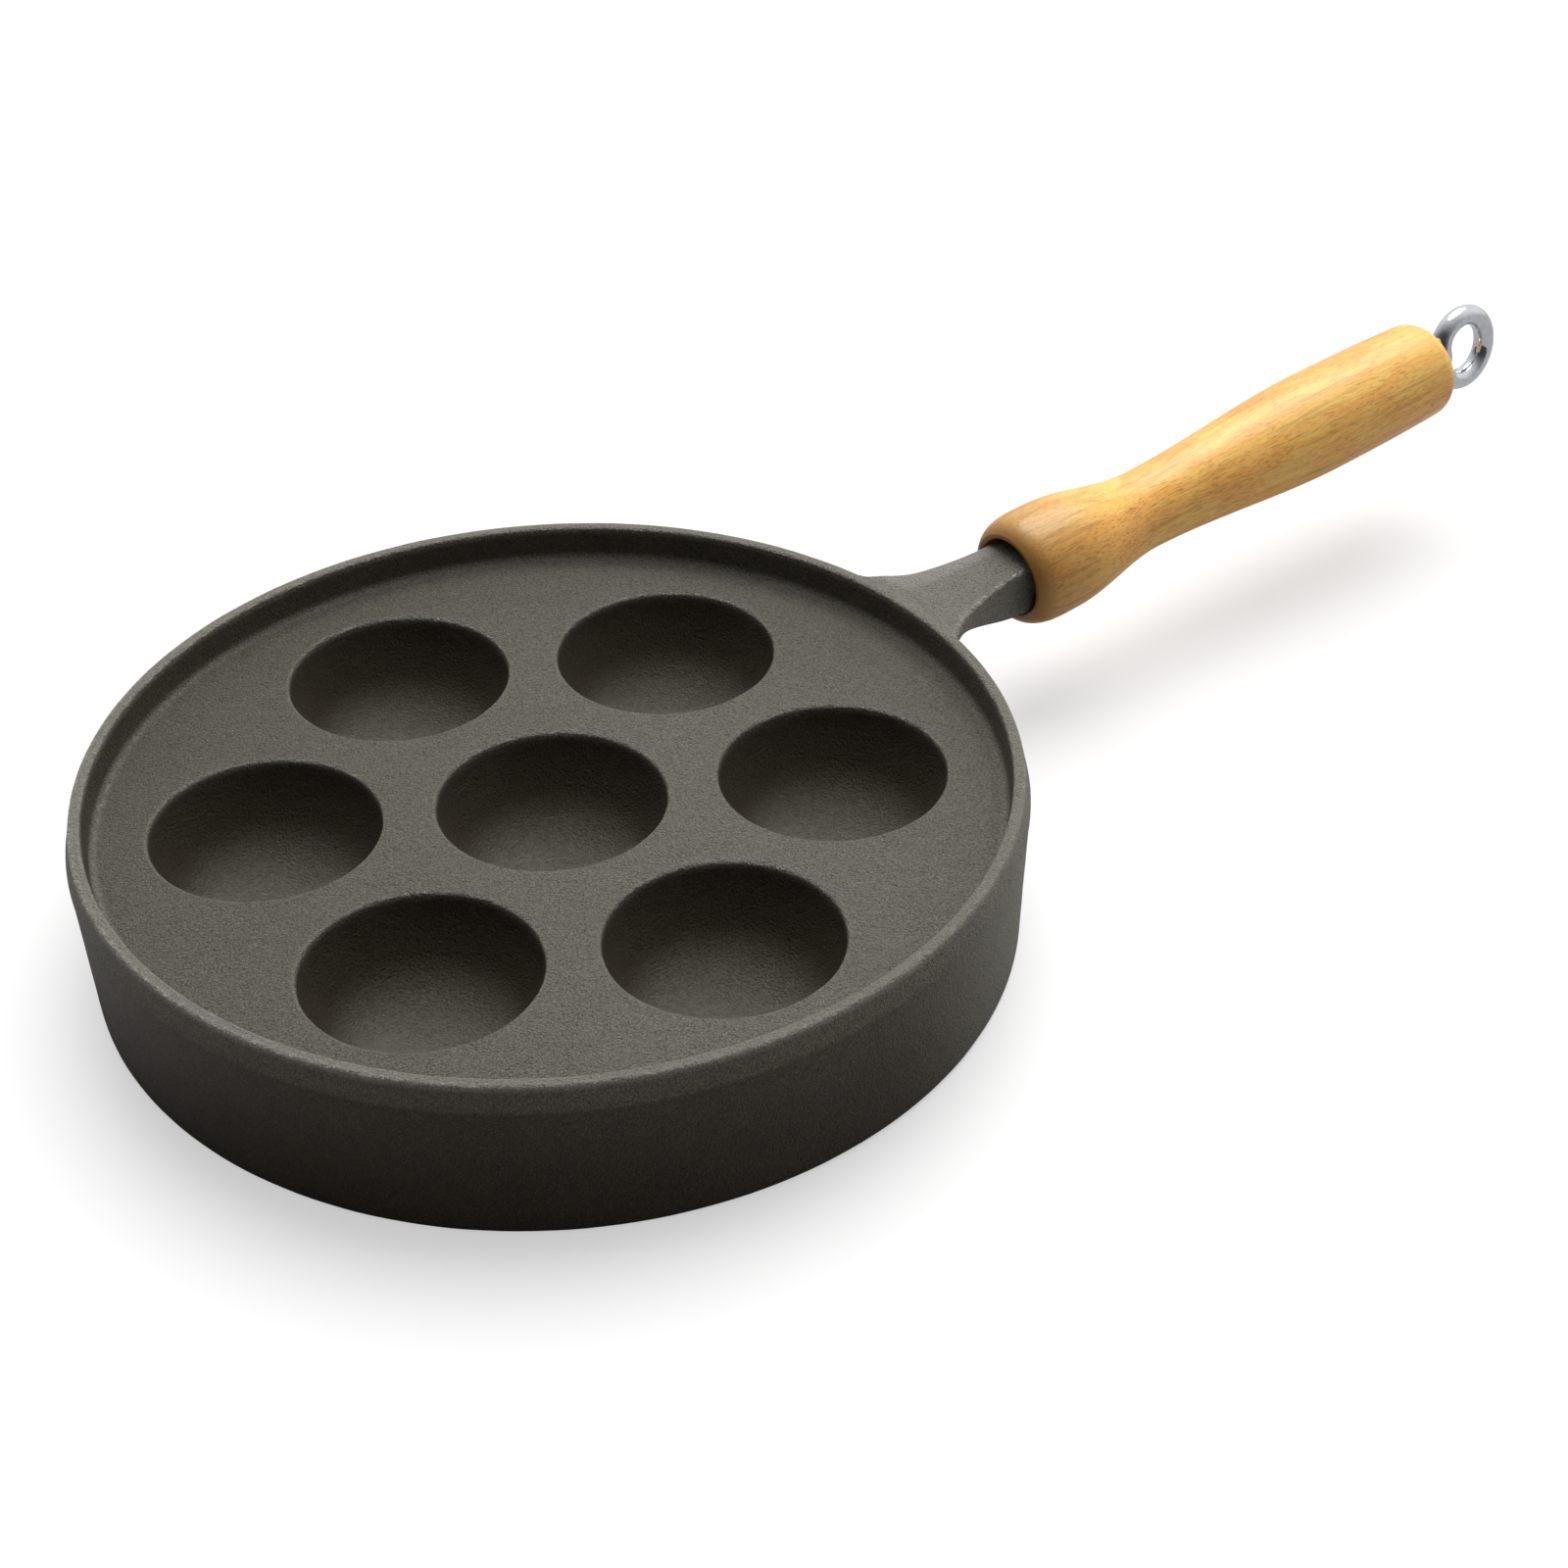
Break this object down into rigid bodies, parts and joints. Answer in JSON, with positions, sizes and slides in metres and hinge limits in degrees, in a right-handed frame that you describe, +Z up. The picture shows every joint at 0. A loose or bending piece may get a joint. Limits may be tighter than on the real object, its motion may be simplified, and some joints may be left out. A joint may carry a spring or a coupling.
{
  "type": "aebleskiver pan",
  "caption": "Round cast-iron pan with half-ball wells, a tall skirt and a cast arm that carries a turned wooden grip with a hanging eye.",
  "frame": {"origin": "centre of the skirt's foot, on the hob or table that the pan stands on", "axes": "+X towards the grip, +Z up"},
  "size_m": [0.4568, 0.233, 0.0593],
  "materials": {
    "cast_iron": "as cast, seasoned, satin",
    "grip_wood": "turned and clear lacquered",
    "eye_chrome": "bright chrome plate on steel"
  },
  "bodies": {
    "casting": {"pan_casting": "cast_iron"},
    "grip": {"wood_grip": "grip_wood"},
    "eye": {"eye_rod": "eye_chrome"}
  },
  "joints": [
    {"name": "grip_slide", "type": "slide", "parent": "casting", "child": "grip", "axis": [0.999, 0, 0.0436], "range_m": [0, 0.016]},
    {"name": "eye_turn", "type": "hinge", "parent": "grip", "child": "eye", "pos_m": [0.1485, 0, 0.03826], "axis": [0.999, 0, 0.0436], "range_deg": [0, 4608]}
  ],
  "couplings": [
    {"joint": "eye_turn", "follows": "grip_slide", "rad_per_m": 5026.5}
  ]
}
